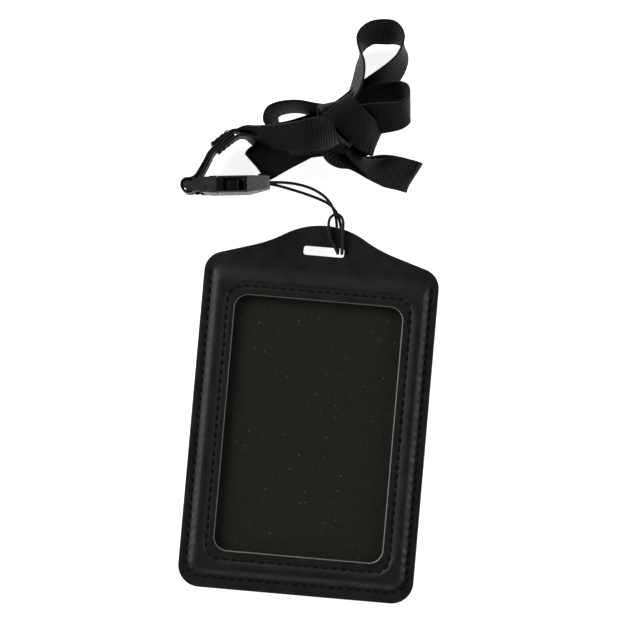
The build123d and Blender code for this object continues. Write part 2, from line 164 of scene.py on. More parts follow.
# The neck strap, from the sewn joint through its loops and back: each point with its width's direction.
STRAP_ROUTE = [
    (-0.03557, 0.07560, 0.0065, 0, 0, 1),
    (-0.03063, 0.08036, 0.0065, 0, 0, 1),
    (-0.0278, 0.0804, 0.0066, 0, 0, 1),
    (-0.0251, 0.0804, 0.0076, 0, 0.12, 0.98),
    (-0.0211, 0.0792, 0.0102, 0.03, 0.36, 0.93),
    (-0.0157, 0.0790, 0.0134, 0.08, 0.62, 0.75),
    (-0.0105, 0.0795, 0.0148, 0.05, 0.78, 0.6),
    (-0.0062, 0.0806, 0.0153, 0, 0.9, 0.4),
    (-0.0027, 0.0813, 0.0154, 0, 1, 0),
    (-0.0001, 0.0818, 0.0152, -0.3, 0.85, -0.4),
    (0.0011, 0.0813, 0.0140, -0.6, 0.5, -0.6),
    (0.0005, 0.0798, 0.0126, -0.9, 0.25, -0.2),
    (0.0007, 0.0784, 0.0110, -0.95, 0.05, 0),
    (0.0021, 0.0769, 0.0088, -0.6, -0.3, 0.5),
    (0.0044, 0.0754, 0.0066, -0.33, -0.38, 0.85),
    (0.0073, 0.0740, 0.0056, -0.28, -0.4, 0.85),
    (0.0118, 0.0729, 0.0040, -0.3, -0.6, 0.7),
    (0.0157, 0.0729, 0.0026, -0.35, -0.85, 0.3),
    (0.0199, 0.0727, 0.0010, -0.42, -0.9, 0),
    (0.0242, 0.0719, 0.0009, -0.47, -0.88, 0),
    (0.0246, 0.0716, 0.0034, -0.47, -0.88, 0),
    (0.0240, 0.0715, 0.0058, -0.47, -0.88, 0),
    (0.0183, 0.0722, 0.0062, -0.25, -0.88, 0.35),
    (0.0138, 0.0726, 0.0060, -0.3, -0.7, 0.62),
    (0.0094, 0.0740, 0.0058, -0.27, -0.32, 0.9),
    (0.0062, 0.0762, 0.0060, -0.28, -0.2, 0.93),
    (0.0042, 0.0785, 0.0066, -0.28, -0.05, 0.95),
    (0.0023, 0.0811, 0.0086, -0.7, 0, 0.7),
    (0.0003, 0.0837, 0.0106, -0.95, 0.02, 0.3),
    (-0.0005, 0.0868, 0.0114, -1, 0, 0.08),
    (-0.0010, 0.0907, 0.0116, -0.95, -0.15, 0.28),
    (-0.0009, 0.0904, 0.0140, -0.84, -0.47, 0.28),
    (0.0026, 0.0878, 0.0136, -0.78, -0.62, 0),
    (0.0055, 0.0853, 0.0123, -0.76, -0.64, -0.03),
    (0.0084, 0.0831, 0.0102, -0.74, -0.66, 0.05),
    (0.0107, 0.0818, 0.0088, -0.6, -0.66, 0.3),
    (0.0129, 0.0815, 0.0068, -0.35, -0.62, 0.6),
    (0.0128, 0.0814, 0.0032, -0.05, -0.7, 0.6),
    (0.0084, 0.0815, 0.0012, 0.3, -0.95, 0.1),
    (0.0033, 0.0813, 0.0009, 0.35, -0.94, 0),
    (-0.0035, 0.0808, 0.0009, 0.42, -0.9, 0),
    (-0.0100, 0.0792, 0.0009, 0.5, -0.86, 0),
    (-0.0157, 0.0767, 0.0010, 0.6, -0.8, -0.1),
    (-0.0203, 0.0738, 0.0022, 0.66, -0.7, -0.25),
    (-0.0226, 0.0715, 0.0030, 0.68, -0.66, -0.3),
    (-0.0215, 0.0701, 0.0060, 0.68, -0.68, -0.2),
    (-0.0160, 0.0741, 0.0068, 0.58, -0.8, -0.05),
    (-0.0098, 0.0780, 0.0067, 0.5, -0.87, 0),
    (-0.0042, 0.0817, 0.0064, 0.5, -0.86, 0),
    (0.0008, 0.0856, 0.0058, 0.5, -0.83, -0.15),
    (0.0046, 0.0896, 0.0049, 0.45, -0.7, -0.5),
    (0.0085, 0.0933, 0.0044, 0.3, -0.65, -0.68),
    (0.0137, 0.0952, 0.0046, 0, -0.72, -0.68),
    (0.0183, 0.0958, 0.0050, 0.02, -0.72, -0.68),
    (0.0211, 0.0949, 0.0062, 0.08, -0.68, -0.72),
    (0.0215, 0.0914, 0.0094, 0.1, -0.68, -0.72),
    (0.0191, 0.0889, 0.0098, 0.05, -0.76, -0.64),
    (0.0142, 0.0879, 0.0090, 0, -0.82, -0.55),
    (0.0095, 0.0872, 0.0078, 0, -0.88, -0.45),
    (0.0043, 0.0857, 0.0076, 0, -0.96, -0.25),
    (-0.0014, 0.0828, 0.0090, 0.05, -0.99, -0.08),
    (-0.0070, 0.0801, 0.0102, 0.1, -0.99, 0),
    (-0.0120, 0.0792, 0.0092, 0.1, -0.95, -0.2),
    (-0.0160, 0.0806, 0.0066, 0, -0.6, -0.8),
    (-0.0188, 0.0831, 0.0056, 0.5, 0, -0.85),
    (-0.0194, 0.0866, 0.0058, 0.35, -0.2, -0.9),
    (-0.0167, 0.0886, 0.0058, 0.1, -0.26, -0.96),
    (-0.0114, 0.0896, 0.0058, 0, -0.25, -0.97),
    (-0.0066, 0.0889, 0.0057, -0.05, -0.25, -0.97),
    (-0.0016, 0.0891, 0.0056, -0.1, -0.2, -0.97),
    (0.0027, 0.0913, 0.0055, -0.3, -0.1, -0.95),
    (0.0050, 0.0954, 0.0054, -0.33, -0.05, -0.94),
    (0.0059, 0.0999, 0.0054, -0.31, 0, -0.95),
    (0.0060, 0.1044, 0.0054, -0.22, 0, -0.98),
    (0.0055, 0.1080, 0.0054, 0.15, -0.08, -0.98),
    (0.0060, 0.1112, 0.0052, 0.38, -0.3, -0.87),
    (0.0085, 0.1135, 0.0050, 0.2, -0.55, -0.82),
    (0.0120, 0.1140, 0.0048, 0, -0.65, -0.76),
    (0.0151, 0.1140, 0.0049, -0.05, -0.6, -0.8),
    (0.0176, 0.1122, 0.0053, -0.1, -0.25, -0.96),
    (0.0185, 0.1093, 0.0055, 0.2, -0.05, -0.97),
    (0.0182, 0.1060, 0.0054, 0.36, -0.15, -0.92),
    (0.0165, 0.1029, 0.0053, 0.45, -0.3, -0.84),
    (0.0138, 0.0998, 0.0048, 0.52, -0.42, -0.74),
    (0.0103, 0.0960, 0.0036, 0.6, -0.6, -0.5),
    (0.0068, 0.0923, 0.0024, 0.6, -0.78, -0.15),
    (0.0029, 0.0887, 0.0020, 0.55, -0.83, 0),
    (-0.0016, 0.0856, 0.0023, 0.45, -0.9, 0),
    (-0.0070, 0.0827, 0.0025, 0.3, -0.95, 0),
    (-0.0125, 0.0804, 0.0028, 0.15, -0.98, -0.05),
    (-0.0177, 0.0791, 0.0038, 0, -0.8, -0.6),
    (-0.0221, 0.0789, 0.0054, 0, -0.35, -0.93),
    (-0.0249, 0.0791, 0.0063, 0, -0.05, -1),
    (-0.0270, 0.0791, 0.0065, 0, 0, -1),
    (-0.02897, 0.07864, 0.0065, 0, 0, -1),
    (-0.03390, 0.07387, 0.0065, 0, 0, -1),
]

# The webbing round the buckle's bar: up one leg from the joint, round, and back down the other.
LOOP_ROUTE = [
    (-0.03008, 0.07979, 0.0065),
    (-0.03590, 0.07415, 0.0065),
    (-0.0371, 0.0711, 0.0065),
    (-0.0384, 0.0682, 0.0065),
    (-0.0396, 0.0658, 0.0065),
    (-0.0410, 0.0650, 0.0065),
    (-0.0432, 0.0647, 0.0065),
    (-0.0437, 0.0626, 0.0065),
    (-0.0424, 0.0610, 0.0065),
    (-0.0401, 0.0610, 0.0065),
    (-0.0394, 0.0627, 0.0065),
    (-0.0386, 0.0652, 0.0065),
    (-0.0371, 0.0682, 0.0065),
    (-0.0359, 0.0711, 0.0065),
    (-0.0352, 0.0736, 0.0065),
    (-0.02952, 0.07921, 0.0065),
]

# ---- light
SKY_STRENGTH = 0.20
FLOOR_GLOW = 0.9
LIGHTS = [
    ("back_left", (-0.60, 0.60, 0.34), (0.45, 0.30), 9.0),
    ("left", (-0.85, -0.05, 0.28), (0.50, 0.30), 5.0),
    ("right", (0.85, 0.20, 0.28), (0.50, 0.30), 5.0),
    ("front", (0.10, -0.75, 0.30), (0.50, 0.25), 1.8),
]


# ------------------------------------------------------------------ camera, floor and light
def add_camera():
    data = bpy.data.cameras.new("camera")
    data.sensor_width = SENSOR
    data.lens = SENSOR * VIEW_DISTANCE / VIEW_SPAN
    data.clip_start = 0.05
    camera = bpy.data.objects.new("camera", data)
    bpy.context.scene.collection.objects.link(camera)
    picture_up = Vector((-math.sin(VIEW_TURN), math.cos(VIEW_TURN), 0))
    back = -math.sin(VIEW_TILT) * picture_up + Vector((0, 0, math.cos(VIEW_TILT)))
    side = picture_up.cross(back).normalized()
    up = back.cross(side)
    turn = Matrix((side, up, back)).transposed().to_4x4()
    camera.matrix_world = Matrix.Translation(VIEW_TARGET + back * VIEW_DISTANCE) @ turn
    bpy.context.scene.camera = camera


def add_floor():
    size = 1.5
    height = -0.00005
    corners = [(-size, -size, height), (size, -size, height), (size, size, height), (-size, size, height)]
    mesh = bpy.data.meshes.new("floor")
    mesh.from_pydata(corners, [], [(0, 1, 2, 3)])
    floor = bpy.data.objects.new("floor", mesh)
    bpy.context.scene.collection.objects.link(floor)
    material, shader = new_material("floor_paper", (0.93, 0.93, 0.93), 0.9)
    shader.inputs["Specular IOR Level"].default_value = 0.1
    shader.inputs["Emission Color"].default_value = (1, 1, 1, 1)
    shader.inputs["Emission Strength"].default_value = FLOOR_GLOW
    mesh.materials.append(material)


def add_area_light(name, place, size, power, aim=(0, 0.03, 0)):
    data = bpy.data.lights.new(name, "AREA")
    data.shape = "RECTANGLE"
    data.size = size[0]
    data.size_y = size[1]
    data.energy = power
    light = bpy.data.objects.new(name, data)
    bpy.context.scene.collection.objects.link(light)
    light.location = place
    direction = Vector(aim) - Vector(place)
    light.rotation_euler = direction.to_track_quat("-Z", "Y").to_euler()


def add_sky():
    """Soft light from all sides, with less from straight above, so that flat black faces stay dark."""
    world = bpy.data.worlds.new("studio")
    bpy.context.scene.world = world
    world.use_nodes = True
    tree = world.node_tree
    background = tree.nodes["Background"]
    place = tree.nodes.new("ShaderNodeTexCoord")
    split = tree.nodes.new("ShaderNodeSeparateXYZ")
    ramp = tree.nodes.new("ShaderNodeValToRGB")
    tree.links.new(place.outputs["Generated"], split.inputs[0])
    tree.links.new(split.outputs["Z"], ramp.inputs[0])
    tree.links.new(ramp.outputs["Color"], background.inputs["Color"])
    stops = ramp.color_ramp.elements
    stops[0].position = 0.0
    stops[0].color = (0.9, 0.92, 0.93, 1)
    stops[1].position = 0.85
    stops[1].color = (0.012, 0.0125, 0.013, 1)
    middle = stops.new(0.45)
    middle.color = (0.45, 0.46, 0.465, 1)
    background.inputs["Strength"].default_value = SKY_STRENGTH


# ------------------------------------------------------------------ materials
def new_material(name, colour, roughness):
    material = bpy.data.materials.new(name)
    material.use_nodes = True
    shader = material.node_tree.nodes["Principled BSDF"]
    shader.inputs["Base Color"].default_value = (*colour, 1)
    shader.inputs["Roughness"].default_value = roughness
    return material, shader


def add_node(material, kind, **inputs):
    node = material.node_tree.nodes.new(kind)
    for name, value in inputs.items():
        node.inputs[name.replace("_", " ")].default_value = value
    return node


def link(material, output, socket):
    material.node_tree.links.new(output, socket)


def object_place(material):
    return add_node(material, "ShaderNodeTexCoord").outputs["Object"]


def noise(material, place, scale, detail=3.0, roughness=0.5):
    node = add_node(material, "ShaderNodeTexNoise", Scale=scale, Detail=detail, Roughness=roughness)
    link(material, place, node.inputs["Vector"])
    return node.outputs["Fac"]


def ramp_between(material, value, low, high, low_colour, high_colour):
    """A colour that goes from one to another as value goes from low to high."""
    node = add_node(material, "ShaderNodeValToRGB")
    stops = node.color_ramp.elements
    stops[0].position = low
    stops[0].color = (*low_colour, 1)
    stops[1].position = high
    stops[1].color = (*high_colour, 1)
    link(material, value, node.inputs["Fac"])
    return node.outputs["Color"]


def range_between(material, value, low, high, first, last):
    node = add_node(material, "ShaderNodeMapRange")
    for socket, number in zip(("From Min", "From Max", "To Min", "To Max"), (low, high, first, last)):
        node.inputs[socket].default_value = number
    link(material, value, node.inputs["Value"])
    return node.outputs["Result"]


def bump(material, shader, height, distance, strength=1.0, under=None):
    node = add_node(material, "ShaderNodeBump", Strength=strength, Distance=distance)
    link(material, height, node.inputs["Height"])
    if under is not None:
        link(material, under, node.inputs["Normal"])
    link(material, node.outputs["Normal"], shader.inputs["Normal"])
    return node.outputs["Normal"]


def leather_material():
    """Black coated leather: fine pebbled grain, slightly cool, a little worn where it is handled."""
    material, shader = new_material("black_leather", (0.012, 0.013, 0.014), 0.5)
    place = object_place(material)
    cells = add_node(material, "ShaderNodeTexVoronoi", Scale=2100.0, Randomness=1.0)
    cells.feature = "DISTANCE_TO_EDGE"
    link(material, place, cells.inputs["Vector"])
    pebbles = range_between(material, cells.outputs["Distance"], 0.0, 0.35, 0.0, 1.0)
    patches = noise(material, place, 90.0, 4.0)
    colour = ramp_between(material, patches, 0.3, 0.7, (0.0038, 0.0046, 0.0048), (0.0062, 0.0072, 0.0073))
    link(material, colour, shader.inputs["Base Color"])
    rough = range_between(material, noise(material, place, 260.0, 5.0), 0.3, 0.7, 0.44, 0.58)
    link(material, rough, shader.inputs["Roughness"])
    first = bump(material, shader, pebbles, 0.00005, 0.7)
    bump(material, shader, noise(material, place, 5200.0, 3.0), 0.00004, 0.5, first)
    shader.inputs["Specular IOR Level"].default_value = 0.28
    return material


def cut_edge_material():
    """The cut edge of the coated leather: its grey backing shows."""
    material, shader = new_material("leather_cut_edge", (0.09, 0.095, 0.09), 0.7)
    place = object_place(material)
    fibres = noise(material, place, 2600.0, 4.0)
    colour = ramp_between(material, fibres, 0.3, 0.7, (0.07, 0.075, 0.072), (0.16, 0.165, 0.155))
    link(material, colour, shader.inputs["Base Color"])
    bump(material, shader, fibres, 0.00005, 0.6)
    return material


def lining_material():
    """A brownish black felt backing with fine lint on it."""
    material, shader = new_material("brown_black_felt", (0.018, 0.016, 0.012), 0.9)
    place = object_place(material)
    mottle = noise(material, place, 1300.0, 6.0, 0.8)
    cloudy = ramp_between(material, mottle, 0.38, 0.62, (0.0050, 0.0052, 0.0032), (0.0190, 0.0180, 0.0120))
    specks = add_node(material, "ShaderNodeTexVoronoi", Scale=300.0, Randomness=1.0)
    link(material, place, specks.inputs["Vector"])
    shade = ramp_between(material, specks.outputs["Distance"], 0.03, 0.11, (1, 1, 1), (0, 0, 0))
    mix = add_node(material, "ShaderNodeMix")
    mix.data_type = "RGBA"
    mix.inputs["B"].default_value = (0.10, 0.095, 0.075, 1)
    link(material, shade, mix.inputs["Factor"])
    link(material, cloudy, mix.inputs["A"])
    link(material, mix.outputs["Result"], shader.inputs["Base Color"])
    shader.inputs["Sheen Weight"].default_value = 0.05
    shader.inputs["Specular IOR Level"].default_value = 0.2
    bump(material, shader, noise(material, place, 3000.0, 5.0, 0.7), 0.00008, 0.6)
    return material


def film_material():
    """Clear soft plastic sheet, faintly hazy and scuffed."""
    material, shader = new_material("clear_film", (0.03, 0.03, 0.027), 0.12)
    place = object_place(material)
    scuffs = noise(material, place, 160.0, 5.0, 0.65)
    rough = range_between(material, scuffs, 0.35, 0.7, 0.08, 0.24)
    link(material, rough, shader.inputs["Roughness"])
    shader.inputs["Alpha"].default_value = 0.16
    shader.inputs["Specular IOR Level"].default_value = 0.8
    return material


def thread_material():
    """Dull black sewing thread."""
    material, shader = new_material("black_thread", (0.002, 0.002, 0.002), 0.75)
    place = object_place(material)
    fibres = noise(material, place, 7000.0, 2.0)
    colour = ramp_between(material, fibres, 0.3, 0.7, (0.0010, 0.0010, 0.0011), (0.0032, 0.0032, 0.0034))
    link(material, colour, shader.inputs["Base Color"])
    bump(material, shader, fibres, 0.00003, 0.6)
    shader.inputs["Specular IOR Level"].default_value = 0.12
    return material


def webbing_material():
    """Black polyester webbing: cross ribs with painted shade in their grooves, fine yarns along them, and a
    slight sheen.
    """
    material, shader = new_material("black_webbing", (0.011, 0.012, 0.012), 0.6)
    place = add_node(material, "ShaderNodeUVMap")
    place.uv_map = "weave"
    uv = place.outputs["UV"]
    stretch = add_node(material, "ShaderNodeMapping")
    stretch.inputs["Scale"].default_value = (14.0, 220.0, 1.0)
    link(material, uv, stretch.inputs["Vector"])
    yarns = add_node(material, "ShaderNodeTexNoise", Scale=1.0, Detail=4.0)
    link(material, stretch.outputs["Vector"], yarns.inputs["Vector"])
    split = add_node(material, "ShaderNodeSeparateXYZ")
    link(material, uv, split.inputs["Vector"])
    turns = add_node(material, "ShaderNodeMath")
    turns.operation = "MULTIPLY"
    turns.inputs[1].default_value = 2 * math.pi * WEBBING_WIDTH / RIB_PITCH
    link(material, split.outputs["Y"], turns.inputs[0])
    wave = add_node(material, "ShaderNodeMath")
    wave.operation = "COSINE"
    link(material, turns.outputs["Value"], wave.inputs[0])
    # painted shade: along each rib groove the colour is mixed towards near black and the specular level
    # lowered, standing in for the shade that falls there
    crest = range_between(material, wave.outputs["Value"], -1.0, 0.8, 0.3, 1.0)
    shade = ramp_between(
        material, yarns.outputs["Fac"], 0.3, 0.75, (0.0036, 0.0045, 0.0040), (0.0120, 0.0137, 0.0126)
    )
    groove_shade = add_node(material, "ShaderNodeMix")
    groove_shade.data_type = "RGBA"
    groove_shade.inputs["A"].default_value = (0.0003, 0.0003, 0.0003, 1)
    link(material, crest, groove_shade.inputs["Factor"])
    link(material, range_between(material, crest, 0.3, 1.0, 0.06, 0.18), shader.inputs["Specular IOR Level"])
    link(material, shade, groove_shade.inputs["B"])
    link(material, groove_shade.outputs["Result"], shader.inputs["Base Color"])
    bump(material, shader, yarns.outputs["Fac"], 0.00008, 0.8)
    shader.inputs["Sheen Weight"].default_value = 0.05
    shader.inputs["Sheen Roughness"].default_value = 0.4
    return material


def cord_material():
    """A fine black braid."""
    material, shader = new_material("black_braid", (0.005, 0.005, 0.005), 0.7)
    place = object_place(material)
    fibres = noise(material, place, 5000.0, 3.0)
    colour = ramp_between(material, fibres, 0.3, 0.7, (0.0030, 0.0030, 0.0028), (0.0095, 0.0095, 0.0085))
    link(material, colour, shader.inputs["Base Color"])
    bump(material, shader, fibres, 0.00003, 0.5)
    shader.inputs["Specular IOR Level"].default_value = 0.2
    return material


def plastic_material(name, shade):
    """Moulded nylon with faint flow marks and scuffs, and a painted highlight: more specular on faces that
    point up than on its walls.
    """
    material, shader = new_material(name, (shade, shade, shade), 0.3)
    place = object_place(material)
    patches = noise(material, place, 300.0, 4.0)
    dark = (0.75 * shade, 0.78 * shade, 0.76 * shade)
    light = (1.25 * shade, 1.30 * shade, 1.26 * shade)
    link(material, ramp_between(material, patches, 0.3, 0.7, dark, light), shader.inputs["Base Color"])
    rough = range_between(material, noise(material, place, 900.0, 5.0, 0.65), 0.35, 0.7, 0.24, 0.40)
    link(material, rough, shader.inputs["Roughness"])
    bump(material, shader, noise(material, place, 1400.0, 3.0), 0.00001, 0.3)
    # painted highlight: faces pointing up in the scene get a higher specular level than the walls, wherever
    # the piece lies
    facing = add_node(material, "ShaderNodeNewGeometry")
    upward = add_node(material, "ShaderNodeSeparateXYZ")
    link(material, facing.outputs["Normal"], upward.inputs["Vector"])
    top_painted_highlight = range_between(material, upward.outputs["Z"], 0.1, 0.6, 0.03, 0.5)
    link(material, top_painted_highlight, shader.inputs["Specular IOR Level"])
    return material


def foam_material():
    material, shader = new_material("grey_foam", (0.10, 0.10, 0.11), 0.9)
    place = object_place(material)
    cells = add_node(material, "ShaderNodeTexVoronoi", Scale=3500.0)
    link(material, place, cells.inputs["Vector"])
    dark = (0.05, 0.05, 0.055)
    light = (0.14, 0.14, 0.15)
    colour = ramp_between(material, cells.outputs["Distance"], 0.1, 0.6, dark, light)
    link(material, colour, shader.inputs["Base Color"])
    bump(material, shader, cells.outputs["Distance"], 0.0001, 0.6)
    return material


def board_material():
    material, shader = new_material("grey_board", (0.20, 0.18, 0.15), 0.85)
    place = object_place(material)
    fibres = noise(material, place, 1500.0, 6.0, 0.7)
    colour = ramp_between(material, fibres, 0.3, 0.7, (0.13, 0.115, 0.09), (0.26, 0.24, 0.20))
    link(material, colour, shader.inputs["Base Color"])
    bump(material, shader, fibres, 0.00004, 0.5)
    return material


# ------------------------------------------------------------------ outlines
def trace(start, heading, moves, step=2.0):
    """Points along straight runs (length,) and arcs (radius, sweep in degrees, left is positive)."""
    points = [np.array(start, float)]
    angle = heading
    for move in moves:
        if len(move) == 1:
            points.append(points[-1] + move[0] * unit(angle))
            continue
        radius, sweep = move
        count = max(1, math.ceil(abs(sweep) / step))
        side = math.copysign(1, sweep)
        for _ in range(count):
            chord = 2 * radius * math.sin(math.radians(abs(sweep) / count / 2))
            angle += side * abs(sweep) / count / 2
            points.append(points[-1] + chord * unit(angle))
            angle += side * abs(sweep) / count / 2
    return np.array(points)


def unit(angle):
    return np.array([math.cos(math.radians(angle)), math.sin(math.radians(angle))])


def holder_outline():
    """The holder's outline, clockwise from the middle of its bottom edge."""
    slope = math.radians(HUMP_SWEEP - WAIST_SWEEP)
    hump_end = HUMP_RADIUS * math.sin(math.radians(HUMP_SWEEP))
    waist_run = WAIST_RADIUS * (math.sin(math.radians(HUMP_SWEEP)) - math.sin(slope))
    across = HALF_WIDTH - hump_end - waist_run - SHOULDER_RADIUS * (1 - math.sin(slope))
    shoulder = across / math.cos(slope)
    right = trace(
        (0, HALF_LENGTH), 0,
        [
            (HUMP_RADIUS, -HUMP_SWEEP), (WAIST_RADIUS, WAIST_SWEEP), (shoulder,),
            (SHOULDER_RADIUS, -90 + math.degrees(slope)),
        ],
    )
    side = right[-1][1] + HALF_LENGTH - BOTTOM_RADIUS
    right = trace(
        (0, HALF_LENGTH), 0,
        [
            (HUMP_RADIUS, -HUMP_SWEEP), (WAIST_RADIUS, WAIST_SWEEP), (shoulder,),
            (SHOULDER_RADIUS, -90 + math.degrees(slope)), (side,), (BOTTOM_RADIUS, -90),
        ],
    )
    left = (right * (-1, 1))[::-1]
    return np.concatenate([right, left[:-1]])


def rounded_outline(half_width, bottom, top, radius, middle_y=0.0):
    """A rectangle with round corners, clockwise."""
    across = 2 * (half_width - radius)
    down = top - bottom - 2 * radius
    moves = [(across,), (radius, -90), (down,), (radius, -90)] * 2
    return trace((-half_width + radius, top + middle_y), 0, moves, step=6.0)[:-1]


def outer_seam_path():
    """The seam down the left side, round the bottom and up the right side."""
    half_width, bottom, top, radius = OUTER_SEAM
    down = top - bottom - radius
    across = 2 * (half_width - radius)
    return trace((-half_width, top), -90, [(down,), (radius, 90), (across,), (radius, 90), (down,)], step=6.0)


class Path:
    """A line through points in plan, which measures how far other points are from it and how far along."""

    def __init__(self, points, closed):
        ends = np.roll(points, -1, axis=0) if closed else points[1:]
        self.starts = points if closed else points[:-1]
        self.runs = ends - self.starts
        self.lengths = np.linalg.norm(self.runs, axis=1)
        self.along = np.concatenate([[0], np.cumsum(self.lengths)])
        self.length = self.along[-1]

    def nearest(self, x, y):
        """Each point's distance (positive to the path's left), its place along, and the nearest point."""
        flat = np.stack([np.ravel(x), np.ravel(y)], axis=1)
        distance = np.empty(len(flat))
        along = np.empty(len(flat))
        foot = np.empty((len(flat), 2))
        chunk = 6000
        for first in range(0, len(flat), chunk):
            points = flat[first:first + chunk]
            offset = points[:, None, :] - self.starts[None]
            share = (offset * self.runs).sum(2) / self.lengths**2
            share = np.clip(share, 0, 1)
            away = offset - share[:, :, None] * self.runs
            gap = np.hypot(away[:, :, 0], away[:, :, 1])
            best = gap.argmin(axis=1)
            rows = np.arange(len(points))
            run = self.runs[best]
            near = offset[rows, best]
            side = np.sign(run[:, 0] * near[:, 1] - run[:, 1] * near[:, 0])
            distance[first:first + chunk] = gap[rows, best] * np.where(side == 0, 1, side)
            along[first:first + chunk] = self.along[best] + share[rows, best] * self.lengths[best]
            foot[first:first + chunk] = points - away[rows, best]
        shape = np.shape(x)
        return distance.reshape(shape), along.reshape(shape), foot.reshape(*shape, 2)

    def distance(self, x, y):
        return self.nearest(x, y)[0]

    def at(self, place):
        """The point and the direction at a place along."""
        index = min(int(np.searchsorted(self.along, place, side="right")) - 1, len(self.lengths) - 1)
        direction = self.runs[index] / self.lengths[index]
        return self.starts[index] + direction * (place - self.along[index]), direction


class Seam(Path):
    """A path with stitches at an even pitch."""

    def __init__(self, points, closed):
        super().__init__(points, closed)
        self.count = round(self.length / STITCH_PITCH)
        self.pitch = self.length / self.count

    def pull(self, x, y):
        """How hard the stitches pull the leather in at each point, from 0 to 1, and the wave of the pitch."""
        distance, along, _ = self.nearest(x, y)
        phase = along / self.pitch - 0.5
        wave = np.cos(2 * math.pi * phase)
        groove = np.exp(-((distance / 0.55) ** 2)) * (0.62 + 0.38 * wave)
        gap = (phase - np.round(phase)) * self.pitch
        hole = np.exp(-(((np.abs(gap) - STITCH_LENGTH / 2) / 0.28) ** 2 + (distance / 0.3) ** 2))
        return groove + 0.8 * hole, wave, np.abs(distance)


# ------------------------------------------------------------------ meshes
def add_piece(name, points, faces, materials, body, scale=1.0, slots=None, smooth=True):
    """A mesh object from arrays of points and faces, riding on a body."""
    mesh = bpy.data.meshes.new(name)
    mesh.from_pydata((np.asarray(points) * scale).tolist(), [], [list(face) for face in faces])
    for material in materials:
        mesh.materials.append(material)
    if slots is not None:
        mesh.polygons.foreach_set("material_index", np.asarray(slots, np.int32))
    mesh.polygons.foreach_set("use_smooth", np.full(len(mesh.polygons), smooth))
    mesh.update()
    piece = bpy.data.objects.new(name, mesh)
    bpy.context.scene.collection.objects.link(piece)
    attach(piece, body)
    return piece


def grid_lines(low, high, coarse, fine, zones):
    """Places from low to high, closer inside the zones, with a line at each zone's end."""
    stops = sorted({low, high, *[edge for zone in zones for edge in zone]})
    lines = [low]
    for start, end in zip(stops, stops[1:]):
        middle = (start + end) / 2
        inside = any(zone[0] <= middle <= zone[1] for zone in zones)
        count = max(1, round((end - start) / (fine if inside else coarse)))
        lines.extend(start + (end - start) * (index + 1) / count for index in range(count))
    return np.array(lines)


def plate(edges, xs, ys, top, bottom):
    """A sheet of the grid's cells inside the first outline and outside the others.

    Its border is moved onto the outlines. edges are (path, profile, material slot), and the profile is pairs:
    how far the rim stands out from the border, and its share of the way down. Returns points, faces, slots.
    """
    grid_x, grid_y = np.meshgrid(xs, ys, indexing="ij")
    middle_x = (grid_x[:-1, :-1] + grid_x[1:, 1:]) / 2
    middle_y = (grid_y[:-1, :-1] + grid_y[1:, 1:]) / 2
    paths = [edge[0] for edge in edges]
    keep = inside_all(paths, middle_x, middle_y, [edge[1][-1][0] for edge in edges])
    numbers = np.arange(grid_x.size).reshape(grid_x.shape)
    cells = np.stack([numbers[:-1, :-1], numbers[1:, :-1], numbers[1:, 1:], numbers[:-1, 1:]], axis=-1)[keep]
    used, cells = np.unique(cells, return_inverse=True)
    cells = cells.reshape(-1, 4)
    x = grid_x.ravel()[used]
    y = grid_y.ravel()[used]
    sides = np.concatenate([cells[:, [k, (k + 1) % 4]] for k in range(4)])
    key = np.sort(sides, axis=1)
    _, first, count = np.unique(key, axis=0, return_index=True, return_counts=True)
    border = sides[first[count == 1]]
    rim = np.unique(border)
    owner = move_to_outlines(x, y, rim, edges)
    high = top(x, y)
    low = bottom(x, y)
    size = len(x)
    points = [np.stack([x, y, high], axis=1), np.stack([x, y, low], axis=1)]
    faces = [cells, cells[:, ::-1] + size]
    slots = [np.zeros(2 * len(cells), int)]
    ring_number = np.full(size, -1)
    ring_number[rim] = np.arange(len(rim))
    start = 2 * size
    outward = rim_normals(x[rim], y[rim], owner, edges)
    for index, (_, profile, slot) in enumerate(edges):
        own = border[owner[ring_number[border[:, 0]]] == index]
        above = own
        for out, share in profile[1:-1]:
            ring = np.stack(
                [
                    x[rim] + outward[:, 0] * out,
                    y[rim] + outward[:, 1] * out,
                    high[rim] * (1 - share) + low[rim] * share,
                ],
                axis=1,
            )
            points.append(ring)
            below = ring_number[own] + start
            faces.append(np.stack([above[:, 1], above[:, 0], below[:, 0], below[:, 1]], axis=1))
            slots.append(np.full(len(own), slot))
            above = below
            start += len(rim)
        below = own + size
        faces.append(np.stack([above[:, 1], above[:, 0], below[:, 0], below[:, 1]], axis=1))
        slots.append(np.full(len(own), slot))
    return drop_unused(np.concatenate(points), np.concatenate(faces), np.concatenate(slots))


def drop_unused(points, faces, slots):
    used, renumbered = np.unique(faces, return_inverse=True)
    return points[used], renumbered.reshape(faces.shape), slots


def inside_all(paths, x, y, insets):
    """True where a point is inside the first outline and outside the rest, each drawn in by its inset."""
    keep = -paths[0].distance(x, y) > insets[0]
    for path, inset in zip(paths[1:], insets[1:]):
        keep &= path.distance(x, y) > inset
    return keep


def move_to_outlines(x, y, rim, edges):
    """Moves the border's points onto the nearest outline, drawn in by its rim, and says which that is."""
    gaps = []
    feet = []
    for path, profile, _ in edges:
        distance, _, foot = path.nearest(x[rim], y[rim])
        gaps.append(np.abs(distance))
        feet.append(foot)
    owner = np.argmin(gaps, axis=0)
    for index in range(len(edges)):
        chosen = rim[owner == index]
        x[chosen] = feet[index][owner == index, 0]
        y[chosen] = feet[index][owner == index, 1]
    normals = rim_normals(x[rim], y[rim], owner, edges)
    inset = np.array([edge[1][-1][0] for edge in edges])[owner]
    x[rim] -= normals[:, 0] * inset
    y[rim] -= normals[:, 1] * inset
    return owner


